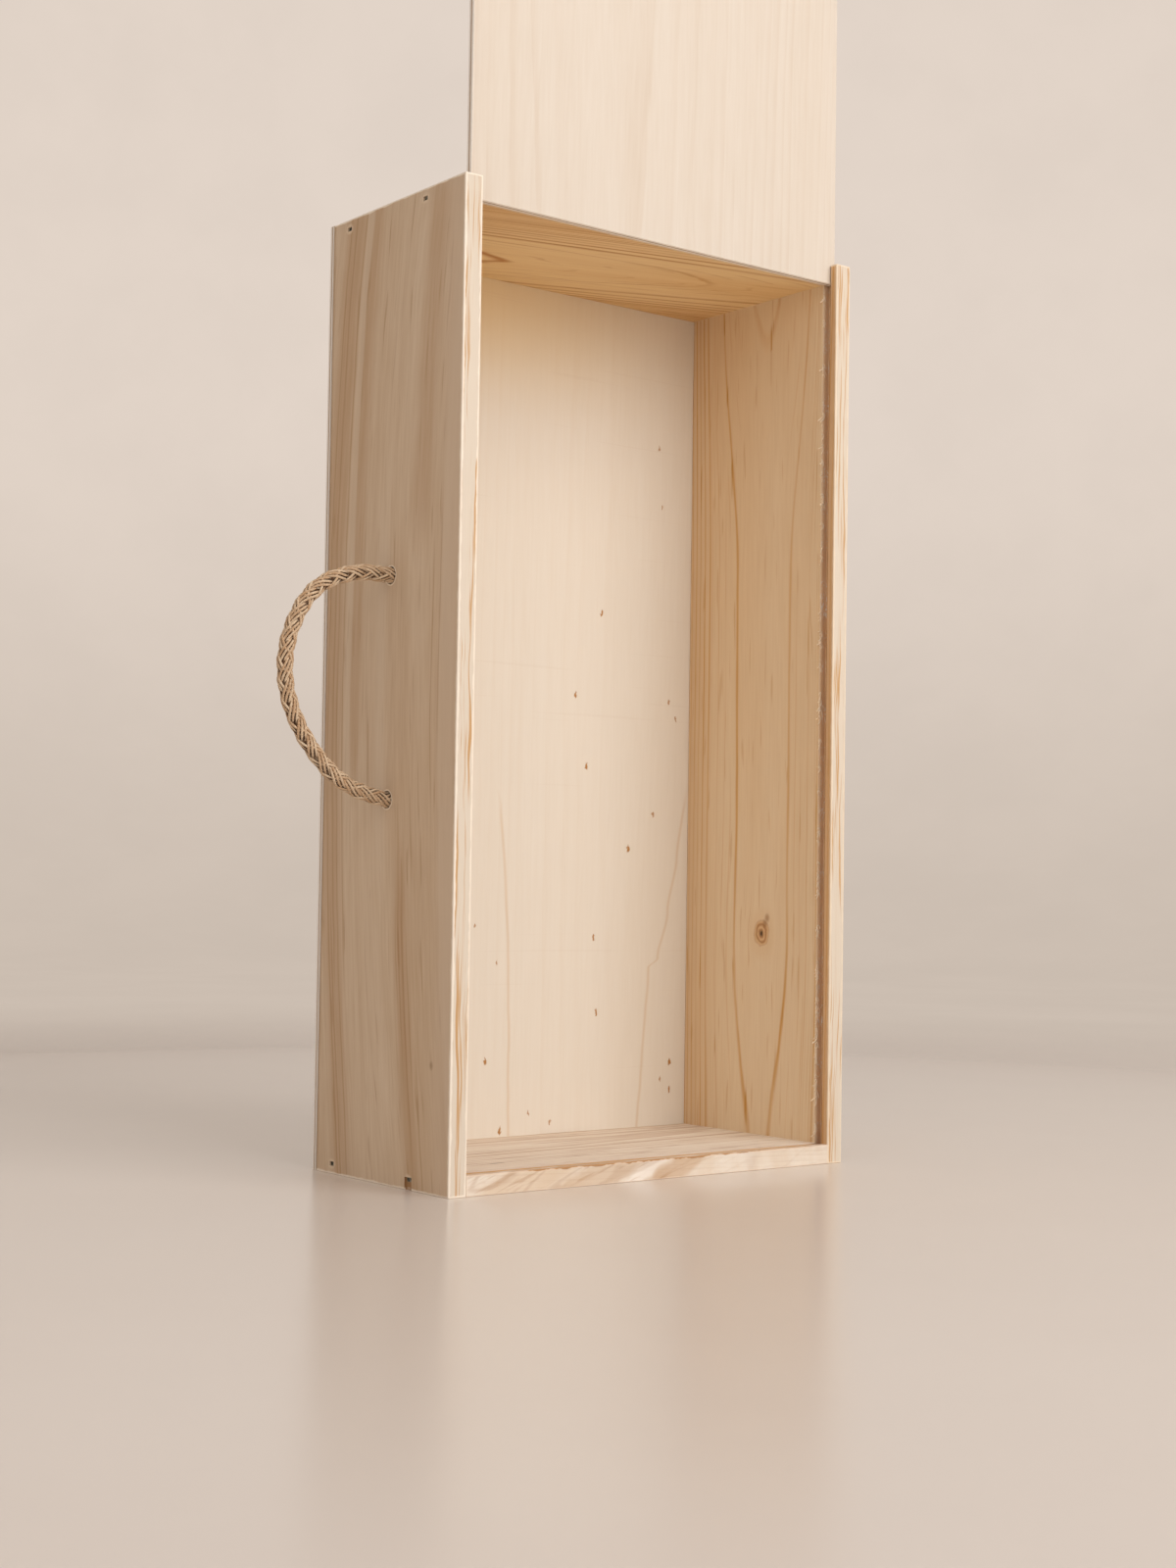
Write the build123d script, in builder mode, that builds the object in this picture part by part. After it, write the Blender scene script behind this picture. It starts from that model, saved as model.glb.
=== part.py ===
# Sliding lid box of pine boards: two grooved sides, a low entry end, a grooved stop end, a nailed
# plywood back, a thin lid in the grooves, and a rope handle knotted through one side.
# Frame: +Z up along the box, opening towards -Y, handle towards -X, origin under the box's middle.
import os
from math import atan, degrees, radians, tan

from build123d import *

os.makedirs("parts", exist_ok=True)

# Boards of the box, in millimetres
box_height = 360.0
box_width = 189.0
side_depth = 88.0
side_thickness = 7.5
end_thickness = 7.5
back_thickness = 3.0
arris_radius = 0.35  # the boards' edges are only just eased

# Lid and the groove that guides it
lid_thickness = 3.0
lip_thickness = 3.4  # wood left in front of the groove
groove_depth = 3.2
lid_face_play = 0.5  # on each face of the lid
lid_edge_play = 0.6  # from each long edge to the groove's floor
lid_seat_play = 0.4  # under the closed lid's lower edge
lid_engaged = 7.5  # length still in the grooves where the lid is drawn up, clear of the opening

# Nails: square-cut brads with a narrow head, set below the surface
nail_shank = 1.4
nail_head_width = 2.8
nail_head_height = 1.6
nail_head_thickness = 0.8
nail_sink = 0.6
nail_point = 3.0
nail_blunt = 0.2  # width left at the tip
corner_nail_length = 25.0
back_nail_length = 15.0
corner_nail_front = 25.5  # from the front edge of the sides
corner_nail_rear = 11.0  # from the back edge of the sides
back_nail_end_margin = 50.0  # along a side, from the end of the box
back_nails_per_side = 3
back_nail_side_margin = 50.0  # along an end, from the side of the box
back_nails_per_end = 2

# Grain broken out between the lower front nail and the foot of the handle side
chip_width = 4.6
chip_depth = 0.9

# Rope handle
rope_diameter = 6.0
rope_hole_play = 0.3  # around the rope
rope_swing_play = 0.3  # between the swinging loop and the board
hole_spacing = 82.0
knot_diameter = 15.0
knot_length = 13.0
knot_round = 4.0
tail_length = 9.0

# Route of the loop: distance out from the board, and height above the middle of the box
loop_route = [
    (rope_swing_play, 41.0),
    (15.0, 42.5),
    (33.0, 34.5),
    (43.5, 15.0),
    (43.5, -4.5),
    (34.0, -22.5),
    (19.0, -36.5),
    (rope_swing_play, -42.1),
]
arc_share = 0.45  # of the shorter run beside a bend, taken up by its arc

# Places worked out from the sizes above
half_width = box_width / 2
front_y = -(side_depth + back_thickness) / 2
frame_back_y = front_y + side_depth
back_face_y = frame_back_y + back_thickness
inner_x = half_width - side_thickness
groove_width = lid_thickness + 2 * lid_face_play
groove_front_y = front_y + lip_thickness
groove_back_y = groove_front_y + groove_width
groove_floor_x = inner_x + groove_depth
lid_closed_z = end_thickness - groove_depth + lid_seat_play
lid_width = 2 * (groove_floor_x - lid_edge_play)
lid_length = box_height - lid_closed_z
lid_stored_z = box_height - lid_engaged
mid_z = box_height / 2
hole_y = front_y + side_depth / 2
hole_radius = rope_diameter / 2 + rope_hole_play
hole_heights = {"upper": mid_z + hole_spacing / 2, "lower": mid_z - hole_spacing / 2}
nail_rows_y = [front_y + corner_nail_front, frame_back_y - corner_nail_rear]
end_middles = {"entry": box_height - end_thickness / 2, "stop": end_thickness / 2}
side_signs = {"handle": -1, "plain": 1}


def outer_face(sign):
    # Plane on the outside of a side, with its X along the depth and its Y up
    return Plane(origin=(sign * half_width, 0, 0), x_dir=(0, sign, 0), z_dir=(sign, 0, 0))


def drive_nails(face, places, length):
    # Nails driven through a face, and the holes that they sit in
    head_plane = face.offset(-nail_sink)
    shank_plane = head_plane.offset(-nail_head_thickness)
    point_plane = head_plane.offset(nail_point - length)
    with BuildPart() as nails:
        with BuildSketch(head_plane):
            with Locations(*places):
                Rectangle(nail_head_width, nail_head_height)
        extrude(amount=-nail_head_thickness)
        with BuildSketch(shank_plane):
            with Locations(*places):
                Rectangle(nail_shank, nail_shank)
        extrude(amount=nail_point + nail_head_thickness - length)
        with BuildSketch(point_plane):
            with Locations(*places):
                Rectangle(nail_shank, nail_shank)
        extrude(amount=-nail_point, taper=degrees(atan((nail_shank - nail_blunt) / 2 / nail_point)))
    with BuildPart() as holes:
        with BuildSketch(face):
            with Locations(*places):
                Rectangle(nail_head_width, nail_head_height)
        extrude(amount=-(nail_sink + nail_head_thickness))
        with BuildSketch(shank_plane):
            with Locations(*places):
                Rectangle(nail_shank, nail_shank)
        extrude(amount=nail_head_thickness - length)
    return nails.part, holes.part


def spread(count, reach):
    # Evenly spaced places from -reach to reach
    return [reach * (2 * step / (count - 1) - 1) for step in range(count)]


# Nails through the sides into the ends
nail_parts = {}
corner_holes = {side: [] for side in side_signs}
end_holes = {end: [] for end in end_middles}
for side, sign in side_signs.items():
    for end, height in end_middles.items():
        spots = [(sign * y, height) for y in nail_rows_y]
        nails, holes = drive_nails(outer_face(sign), spots, corner_nail_length)
        nail_parts[f"{side}_side_{end}_nails"] = nails
        corner_holes[side].append(holes)
        end_holes[end].append(holes)

# Nails through the back panel into the sides and the ends
back_face = Plane(origin=(0, back_face_y, 0), x_dir=(-1, 0, 0), z_dir=(0, 1, 0))
back_holes = []
for side, sign in side_signs.items():
    row_x = -sign * (half_width - side_thickness / 2)
    spots = [(row_x, mid_z + z) for z in spread(back_nails_per_side, mid_z - back_nail_end_margin)]
    nails, holes = drive_nails(back_face, spots, back_nail_length)
    nail_parts[f"back_nails_{side}_side"] = nails
    corner_holes[side].append(holes)
    back_holes.append(holes)
for end, height in end_middles.items():
    spots = [(x, height) for x in spread(back_nails_per_end, half_width - back_nail_side_margin)]
    nails, holes = drive_nails(back_face, spots, back_nail_length)
    nail_parts[f"back_nails_{end}_end"] = nails
    end_holes[end].append(holes)
    back_holes.append(holes)


def grooved_side(sign, nail_holes):
    # Long board with eased edges, the lid's groove along its whole inner face, and nail holes
    with BuildPart() as side:
        with BuildSketch(Plane.XY):
            with Locations((sign * (inner_x + half_width) / 2, (front_y + frame_back_y) / 2)):
                Rectangle(side_thickness, side_depth)
        extrude(amount=box_height)
        fillet(side.edges(), arris_radius)
        with BuildSketch(Plane.XY):
            with Locations((sign * (inner_x + groove_floor_x) / 2, (groove_front_y + groove_back_y) / 2)):
                Rectangle(groove_depth, groove_width)
        extrude(amount=box_height, mode=Mode.SUBTRACT)
        add(nail_holes, mode=Mode.SUBTRACT)
    return side.part


# Handle side: rope holes, and the chip below the lower front nail
chip_top = end_middles["stop"] + nail_head_height / 2
with BuildPart() as handle_side:
    add(grooved_side(side_signs["handle"], corner_holes["handle"]))
    with BuildSketch(outer_face(side_signs["handle"])):
        with Locations(*[(-hole_y, z) for z in hole_heights.values()]):
            Circle(hole_radius)
    extrude(amount=-side_thickness, mode=Mode.SUBTRACT)
    with BuildSketch(outer_face(side_signs["handle"])):
        with Locations((-nail_rows_y[0], chip_top / 2)):
            Rectangle(chip_width, chip_top)
    extrude(amount=-chip_depth, mode=Mode.SUBTRACT)
handle_side.part.label = "handle_side"
export_step(handle_side.part, "parts/handle_side.step")

# Plain side
with BuildPart() as plain_side:
    add(grooved_side(side_signs["plain"], corner_holes["plain"]))
plain_side.part.label = "plain_side"
export_step(plain_side.part, "parts/plain_side.step")

# Entry end: its front edge lies level with the back of the groove, so the lid passes in front of it
with BuildPart() as entry_end:
    with BuildSketch(Plane.XY.offset(box_height - end_thickness)):
        with Locations((0, (groove_back_y + frame_back_y) / 2)):
            Rectangle(2 * inner_x, frame_back_y - groove_back_y)
    extrude(amount=end_thickness)
    fillet(entry_end.edges().filter_by(Axis.X), arris_radius)
    add(end_holes["entry"], mode=Mode.SUBTRACT)
entry_end.part.label = "entry_end"
export_step(entry_end.part, "parts/entry_end.step")

# Stop end: flush with the front, with a groove that takes the lid's lower edge
with BuildPart() as stop_end:
    with BuildSketch(Plane.XY):
        with Locations((0, (front_y + frame_back_y) / 2)):
            Rectangle(2 * inner_x, side_depth)
    extrude(amount=end_thickness)
    fillet(stop_end.edges().filter_by(Axis.X), arris_radius)
    with BuildSketch(Plane.XY.offset(end_thickness)):
        with Locations((0, (groove_front_y + groove_back_y) / 2)):
            Rectangle(2 * inner_x, groove_width)
    extrude(amount=-groove_depth, mode=Mode.SUBTRACT)
    add(end_holes["stop"], mode=Mode.SUBTRACT)
stop_end.part.label = "stop_end"
export_step(stop_end.part, "parts/stop_end.step")

# Back panel, nailed over the frame
with BuildPart() as back_panel:
    with BuildSketch(Plane.XY):
        with Locations((0, (frame_back_y + back_face_y) / 2)):
            Rectangle(box_width, back_thickness)
    extrude(amount=box_height)
    fillet(back_panel.faces().sort_by(Axis.Y)[-1].edges(), arris_radius)
    add(back_holes, mode=Mode.SUBTRACT)
back_panel.part.label = "back_panel"
export_step(back_panel.part, "parts/back_panel.step")

# Lid, drawn up so that only its lower edge is still in the grooves
with BuildPart() as lid:
    with BuildSketch(Plane.XY.offset(lid_stored_z)):
        with Locations((0, (groove_front_y + groove_back_y) / 2)):
            Rectangle(lid_width, lid_thickness)
    extrude(amount=lid_length)
    fillet(lid.edges(), arris_radius)
lid.part.label = "lid"
export_step(lid.part, "parts/lid.step")

# Nails
for name, nails in nail_parts.items():
    nails.label = name
    export_step(nails, f"parts/{name}.step")

# Rope loop: straight runs joined by tangent arcs, with rounded ends to turn on in front of the holes
loop_points = [Vector(-half_width - out, hole_y, mid_z + rise) for out, rise in loop_route]
loop_radii = []
for before, here, after in zip(loop_points, loop_points[1:], loop_points[2:]):
    turn = (here - before).get_angle(after - here)
    shorter_run = min((here - before).length, (after - here).length)
    loop_radii.append(arc_share * shorter_run / tan(radians(turn / 2)))
rope_end_round = 0.98 * rope_diameter / 2
with BuildPart() as rope_loop:
    with BuildLine() as loop_line:
        FilletPolyline(*loop_points, radius=loop_radii)
    with BuildSketch(Plane(origin=loop_line.line @ 0, z_dir=loop_line.line % 0)):
        Circle(rope_diameter / 2)
    sweep()
    fillet(rope_loop.faces().filter_by(GeomType.PLANE).edges(), rope_end_round)
rope_loop.part.label = "rope_loop"
export_step(rope_loop.part, "parts/rope_loop.step")
print("rope arc radii", [round(r, 1) for r in loop_radii])
loop_length = sum(edge.length for edge in loop_line.edges())
print("rope loop length", round(loop_length, 1), "tube volume", round(rope_loop.part.volume))

# Rope ends through the handle side, and the knots with their tails inside
for name, height in hole_heights.items():
    with BuildPart() as rope_end:
        with BuildSketch(outer_face(side_signs["handle"])):
            with Locations((-hole_y, height)):
                Circle(rope_diameter / 2)
        extrude(amount=-side_thickness)
    rope_end.part.label = f"{name}_rope_end"
    export_step(rope_end.part, f"parts/{name}_rope_end.step")

    with BuildPart() as knot:
        with BuildSketch(outer_face(side_signs["handle"]).offset(-side_thickness)):
            with Locations((-hole_y, height)):
                Circle(knot_diameter / 2)
        extrude(amount=-knot_length)
        fillet(knot.edges().filter_by(GeomType.CIRCLE), knot_round)
        with BuildSketch(outer_face(side_signs["handle"]).offset(-side_thickness - knot_length)):
            with Locations((-hole_y, height)):
                Circle(rope_diameter / 2)
        extrude(amount=-tail_length)
    knot.part.label = f"{name}_knot"
    export_step(knot.part, f"parts/{name}_knot.step")
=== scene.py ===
# Dresses the sliding lid box: pine boards, plywood back, pale lid, braided rope handle, dull steel brads.
import math

import bpy
from mathutils import Matrix, Vector


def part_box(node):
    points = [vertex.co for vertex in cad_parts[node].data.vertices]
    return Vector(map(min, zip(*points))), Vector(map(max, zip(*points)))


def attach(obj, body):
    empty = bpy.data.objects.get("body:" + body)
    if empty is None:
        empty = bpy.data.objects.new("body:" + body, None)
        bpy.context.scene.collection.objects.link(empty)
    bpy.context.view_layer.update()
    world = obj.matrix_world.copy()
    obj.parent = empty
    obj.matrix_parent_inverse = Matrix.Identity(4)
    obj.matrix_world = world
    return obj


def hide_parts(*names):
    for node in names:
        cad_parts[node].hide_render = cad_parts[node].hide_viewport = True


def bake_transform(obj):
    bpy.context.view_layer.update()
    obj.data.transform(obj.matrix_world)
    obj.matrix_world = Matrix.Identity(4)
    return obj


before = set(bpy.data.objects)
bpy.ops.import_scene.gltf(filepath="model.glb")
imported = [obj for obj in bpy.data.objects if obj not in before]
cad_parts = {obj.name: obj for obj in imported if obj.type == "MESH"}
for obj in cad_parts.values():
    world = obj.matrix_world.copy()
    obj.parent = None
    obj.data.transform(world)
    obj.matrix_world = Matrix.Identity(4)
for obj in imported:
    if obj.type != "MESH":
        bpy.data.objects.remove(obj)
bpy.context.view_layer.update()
scene = bpy.context.scene
scene.view_settings.view_transform = "Standard"


# Small helpers for node trees
def paint(hexCode):  # screen colour to the linear colour that a shader takes
    parts = [int(hexCode[i:i + 2], 16) / 255 for i in (1, 3, 5)]
    return [*[c / 12.92 if c <= 0.04045 else ((c + 0.055) / 1.055) ** 2.4 for c in parts], 1.0]


def setInputs(tree, node, inputs):  # sockets to link or plain values
    for key, value in inputs.items():
        if isinstance(value, bpy.types.NodeSocket):
            tree.links.new(value, node.inputs[key])
        else:
            node.inputs[key].default_value = value


def addNode(tree, kind, inputs=None, **settings):
    made = tree.nodes.new(kind)
    for name, value in settings.items():
        setattr(made, name, value)
    setInputs(tree, made, inputs or {})
    return made


def calc(tree, operation, *values):
    return addNode(tree, "ShaderNodeMath", dict(enumerate(values)), operation=operation).outputs[0]


def times(tree, product, *factors):
    for factor in factors:
        product = calc(tree, "MULTIPLY", product, factor)
    return product


def plus(tree, a, b):
    return calc(tree, "ADD", a, b)


def minus(tree, a, b):
    return calc(tree, "SUBTRACT", a, b)


def timesPlus(tree, value, factor, start):  # value times factor, plus start
    return calc(tree, "MULTIPLY_ADD", value, factor, start)


def apart(tree, a, b=0.0):  # distance between two values
    return calc(tree, "ABSOLUTE", minus(tree, a, b))


def vecCalc(tree, operation, *values):
    made = addNode(tree, "ShaderNodeVectorMath", dict(enumerate(values)), operation=operation)
    return made.outputs["Value" if operation in ("LENGTH", "DOT_PRODUCT") else "Vector"]


def scaled(tree, vector, factor):
    inputs = {"Vector": vector, "Scale": factor}
    return addNode(tree, "ShaderNodeVectorMath", inputs, operation="SCALE").outputs[0]


def vectorOf(tree, **axes):
    return addNode(tree, "ShaderNodeCombineXYZ", axes).outputs[0]


def splitVector(tree, vector):
    return addNode(tree, "ShaderNodeSeparateXYZ", {0: vector}).outputs


def ramp(tree, value, low, high, toLow=0.0, toHigh=1.0):  # smooth step from low to high
    inputs = {"Value": value, "From Min": low, "From Max": high, "To Min": toLow, "To Max": toHigh}
    return addNode(tree, "ShaderNodeMapRange", inputs, interpolation_type="SMOOTHSTEP").outputs[0]


def between(tree, value, rising, falling):  # up over the first two places and down over the other two
    return times(tree, ramp(tree, value, *rising), ramp(tree, value, *falling))


def noise(tree, vector, stretch, detail=2.0, rough=0.5, give="Fac"):  # stretch is cycles a metre by axis
    coords = vecCalc(tree, "MULTIPLY", vector, stretch)
    inputs = {"Vector": coords, "Scale": 1.0, "Detail": detail, "Roughness": rough}
    return addNode(tree, "ShaderNodeTexNoise", inputs).outputs[give]


def swing(tree, value):  # noise as a value about zero
    return minus(tree, value, 0.5)


def mixPaint(tree, factor, a, b):
    return addNode(tree, "ShaderNodeMix", {0: factor, 6: a, 7: b}, data_type="RGBA").outputs[2]


def twoTone(tree, factor, fromHex, toHex):
    return mixPaint(tree, factor, paint(fromHex), paint(toHex))


def tint(tree, colour, hexCode, *masks):  # lays a paint over a colour by the product of the masks
    return mixPaint(tree, times(tree, *masks), colour, paint(hexCode))


def newGroup(name, inputs, outputs, kind="ShaderNodeTree"):
    tree = bpy.data.node_groups.new(name, kind)
    for way, sockets in (("INPUT", inputs), ("OUTPUT", outputs)):
        for label, socketKind in sockets:
            tree.interface.new_socket(name=label, in_out=way, socket_type="NodeSocket" + socketKind)
    return tree, tree.nodes.new("NodeGroupInput").outputs, tree.nodes.new("NodeGroupOutput")


def useGroup(tree, group, inputs):
    return addNode(tree, "ShaderNodeGroup", inputs, node_tree=group).outputs


def newMaterial(name):
    material = bpy.data.materials.new(name)
    material.use_nodes = True
    tree = material.node_tree
    coords = addNode(tree, "ShaderNodeTexCoord").outputs["Object"]
    return material, tree, tree.nodes["Principled BSDF"], coords


def dress(nodeName, material):
    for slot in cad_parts[nodeName].material_slots:
        slot.material = material


# Small helpers for geometry trees and the lines that they grow on
def keep(tree, geometry, name, value):  # stores a value on each point
    inputs = {"Geometry": geometry, "Name": name, "Value": value}
    kept = addNode(tree, "GeometryNodeStoreNamedAttribute", inputs, data_type="FLOAT", domain="POINT")
    return kept.outputs[0]


def recall(tree, name):
    return addNode(tree, "GeometryNodeInputNamedAttribute", {"Name": name}, data_type="FLOAT").outputs[0]


def chance(tree, low, high, seed, **others):
    inputs = {2: low, 3: high, "Seed": seed, **others}
    return addNode(tree, "FunctionNodeRandomValue", inputs, data_type="FLOAT").outputs[1]


def chanceVector(tree, low, high, seed):
    inputs = {0: low, 1: high, "Seed": seed}
    return addNode(tree, "FunctionNodeRandomValue", inputs, data_type="FLOAT_VECTOR").outputs[0]


def over(tree, value, limit):
    kind = {"data_type": "FLOAT", "operation": "GREATER_THAN"}
    return addNode(tree, "FunctionNodeCompare", {0: value, 1: limit}, **kind).outputs[0]


def bentLine(tree, bend, tip, steps):  # from the origin
    inputs = {"Resolution": steps, "Start": (0.0, 0.0, 0.0), "Middle": bend, "End": tip}
    return addNode(tree, "GeometryNodeCurveQuadraticBezier", inputs).outputs[0]


def tube(tree, curve, sides, radius, caps=True):
    ring = addNode(tree, "GeometryNodeCurvePrimitiveCircle", {"Resolution": sides, "Radius": radius})
    inputs = {"Curve": curve, "Profile Curve": ring.outputs[0], "Fill Caps": caps}
    return addNode(tree, "GeometryNodeCurveToMesh", inputs).outputs[0]


def setMaterial(tree, geometry, material, **others):
    inputs = {"Geometry": geometry, "Material": material, **others}
    return addNode(tree, "GeometryNodeSetMaterial", inputs).outputs[0]


def growTree(name, sizes):  # geometry tree with an input for each size
    sockets = [(label, "Int" if isinstance(size, int) else "Float") for label, size in sizes.items()]
    shape = ("Geometry", "Geometry")
    return newGroup(name, [shape, *sockets], [shape], "GeometryNodeTree")


def routeCurve(name, points):  # smooth line with the route's points as its control points
    data = bpy.data.curves.new(name, "CURVE")
    data.dimensions = "3D"
    data.resolution_u = 24
    spline = data.splines.new("NURBS")
    spline.points.add(len(points) - 1)
    for point, place in zip(spline.points, points):
        point.co = (*place, 1.0)
    spline.order_u = 3
    spline.use_endpoint_u = True
    made = bpy.data.objects.new(name, data)
    scene.collection.objects.link(made)
    return made


def evaluatedMesh(source, name):  # plain mesh of an object as its modifiers leave it
    bpy.context.view_layer.update()
    mesh = bpy.data.meshes.new_from_object(source.evaluated_get(bpy.context.evaluated_depsgraph_get()))
    mesh.name = name
    return mesh


def grown(line, name, tree, sizes):  # plain mesh object of what the tree grows on the line, which then goes
    modifier = line.modifiers.new(name, "NODES")
    modifier.node_group = tree
    for item in tree.interface.items_tree:
        if item.in_out == "INPUT" and item.name in sizes:
            modifier[item.identifier] = sizes[item.name]
    made = bpy.data.objects.new(name, evaluatedMesh(line, name))
    scene.collection.objects.link(made)
    bpy.data.objects.remove(line)
    return made


# Camera at the photograph's viewing angle
camera = {
    "place": (-0.53654, -0.68800, 0.11236),
    "turn": math.radians(37.923),  # to the right of +Y
    "tilt": math.radians(2.356),  # up
    "roll": math.radians(0.856),
    "lens": 51.33,
    "sensor": 36.0,
}
cameraData = bpy.data.cameras.new("photoCamera")
cameraData.lens = camera["lens"]
cameraData.sensor_width = camera["sensor"]
cameraObject = bpy.data.objects.new("photoCamera", cameraData)
scene.collection.objects.link(cameraObject)
cameraObject.matrix_world = (
    Matrix.Translation(camera["place"])
    @ Matrix.Rotation(-camera["turn"], 4, "Z")
    @ Matrix.Rotation(math.pi / 2 + camera["tilt"], 4, "X")
    @ Matrix.Rotation(camera["roll"], 4, "Z")
)
scene.camera = cameraObject
print("camera placed")

# Rope handle
rope = {
    "faceX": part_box("handle_side")[0][0],
    "innerX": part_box("handle_side")[1][0],
    "y": (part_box("rope_loop")[0][1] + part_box("rope_loop")[1][1]) / 2,
    "midZ": 0.180,
    "diameter": 0.006,
    # out from the handle side and up from the middle of the box
    "route": [
        (-0.0075, 0.0410),
        (-0.0030, 0.0410),
        (0.0003, 0.0410),
        (0.0150, 0.0414),
        (0.0330, 0.0345),
        (0.0435, 0.0150),
        (0.0435, -0.0045),
        (0.0340, -0.0225),
        (0.0190, -0.0365),
        (0.0003, -0.0413),
        (-0.0030, -0.0410),
        (-0.0075, -0.0410),
    ],
    # stopper knot, a turn and a half round the rope: in from the board's inner face, across and up
    "knot": [
        (-0.0020, 0.0000, 0.0000), (0.0040, 0.0000, 0.0000), (0.0085, 0.0005, 0.0002),
        (0.0118, 0.0028, 0.0022), (0.0112, 0.0050, -0.0012), (0.0094, 0.0028, -0.0046),
        (0.0080, -0.0022, -0.0048), (0.0066, -0.0050, -0.0006), (0.0056, -0.0032, 0.0042),
        (0.0046, 0.0018, 0.0050), (0.0038, 0.0048, 0.0014), (0.0044, 0.0036, -0.0036),
        (0.0078, -0.0006, -0.0052), (0.0128, -0.0030, -0.0036), (0.0170, -0.0030, -0.0022),
        (0.0215, -0.0024, -0.0012),
    ],
    "braid": {
        "Pairs": 4,  # strands that run each way round
        "Yarns": 3,  # in each strand
        "Pitch": 0.0290,  # one turn of a strand
        "Braid Radius": 0.00212,
        "Weave Lift": 0.00048,
        "Yarn Radius": 0.00046,
        "Yarn Spacing": 0.00099,
        "Step": 0.0007,
        "Core Radius": 0.0020,
        "Fuzz Density": 22000.0,
        "Fuzz Length": 0.0013,
        "Fuzz Radius": 0.000028,
    },
}


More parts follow.
